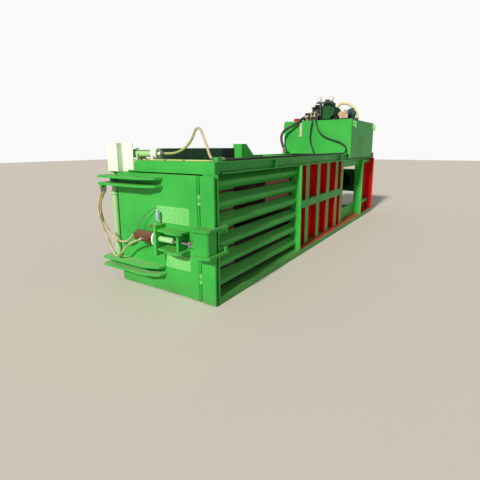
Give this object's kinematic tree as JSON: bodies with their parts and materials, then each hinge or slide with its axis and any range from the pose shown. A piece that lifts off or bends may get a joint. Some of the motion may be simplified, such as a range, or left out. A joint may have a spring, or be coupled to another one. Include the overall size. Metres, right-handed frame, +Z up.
{
  "type": "recycling baler",
  "caption": "Long horizontal closed-door hydraulic baler with ribbed chamber, hinged front door with hooked claw lock, open feed hatch, service bay and oil tank with motor on top.",
  "frame": {"origin": "on the floor, on the bed's centre line, halfway along the bed", "axes": "+Z up, +Y from the door at the front towards the oil tank at the rear, +X towards the side with the hook of the claw lock"},
  "size_m": [1.658, 6.418, 2.517],
  "materials": {
    "green_enamel": "gloss",
    "red_enamel": "gloss",
    "dark_green_paint": "satin",
    "pale_green_paint": "satin",
    "bare_steel": "satin",
    "liner_steel": "rough",
    "primer_paint": "matt",
    "black_valve_paint": "satin",
    "teal_paint": "satin",
    "cream_paint": "satin",
    "gauge_steel": "polished",
    "sight_glass": "gloss",
    "black_hose_rubber": "satin",
    "beige_hose_rubber": "matt"
  },
  "bodies": {
    "frame": {"base_frame": "green_enamel", "front_portal": "green_enamel", "chamber_ribs_right": "green_enamel", "chamber_ribs_left": "green_enamel", "middle_posts": "green_enamel", "press_stiffeners_right": "green_enamel", "press_stiffeners_left": "green_enamel", "bay_frame_right": "green_enamel", "bay_frame_left": "green_enamel", "top_chord_right": "green_enamel", "top_chord_left": "green_enamel", "rear_portal": "green_enamel", "cylinder_crosshead": "green_enamel", "roof_plates": "green_enamel", "shear_beam": "green_enamel", "feed_rim": "green_enamel", "lock_catch": "green_enamel", "hinge_lugs": "green_enamel", "tank": "green_enamel", "tank_lid": "green_enamel", "press_wall_right": "red_enamel", "press_wall_left": "red_enamel", "rear_wall_right": "red_enamel", "rear_wall_left": "red_enamel", "filler_cap": "red_enamel", "main_cylinder": "dark_green_paint", "main_motor": "dark_green_paint", "door_cylinder": "pale_green_paint", "fixed_knife": "bare_steel", "cylinder_gland": "bare_steel", "floor_plate": "liner_steel", "chamber_wall_right": "liner_steel", "chamber_wall_left": "liner_steel", "valve_manifold": "black_valve_paint", "solenoid_valves": "black_valve_paint", "circulation_motor": "teal_paint", "suction_pipe": "cream_paint", "pressure_gauges": "gauge_steel", "level_gauge": "sight_glass", "tank_hose": "black_hose_rubber", "deck_hose": "black_hose_rubber", "valve_hoses": "black_hose_rubber", "door_hose": "beige_hose_rubber"},
    "ram": {"ram_body": "dark_green_paint", "ram_apron": "bare_steel", "ram_rod": "bare_steel", "ram_knife": "bare_steel"},
    "door": {"door_leaf": "green_enamel", "door_straps": "green_enamel", "hinge_shaft": "bare_steel", "door_crank": "pale_green_paint", "door_plates": "green_enamel", "lock_bracket": "green_enamel", "lock_cylinder": "primer_paint", "claw_pins": "bare_steel", "lock_hose_feed": "beige_hose_rubber", "lock_hose_return": "beige_hose_rubber"},
    "door_rod": {"door_rod": "bare_steel"},
    "lock_rod": {"lock_rod": "bare_steel"},
    "claw": {"claw": "green_enamel"}
  },
  "joints": [
    {"name": "ram_slide", "type": "slide", "parent": "frame", "child": "ram", "axis": [0, -1, 0], "range_m": [0, 2.3]},
    {"name": "door_swing", "type": "hinge", "parent": "frame", "child": "door", "pos_m": [-0.77, -3.105, 0.7], "axis": [0, 0, -1], "range_deg": [0, 90]},
    {"name": "door_rod_slide", "type": "slide", "parent": "frame", "child": "door_rod", "axis": [1, 0, 0], "range_m": [0, 0.15]},
    {"name": "claw_swing", "type": "hinge", "parent": "door", "child": "claw", "pos_m": [0.512, -3.142, 0.62], "axis": [0, 0, -1], "range_deg": [-6, 24]},
    {"name": "lock_rod_slide", "type": "slide", "parent": "door", "child": "lock_rod", "axis": [1, 0, 0], "range_m": [-0.037, 0.01]}
  ],
  "couplings": [
    {"joint": "door_rod_slide", "follows": "door_swing", "m_per_rad": 0.094538},
    {"joint": "lock_rod_slide", "follows": "claw_swing", "m_per_rad": -0.086}
  ]
}
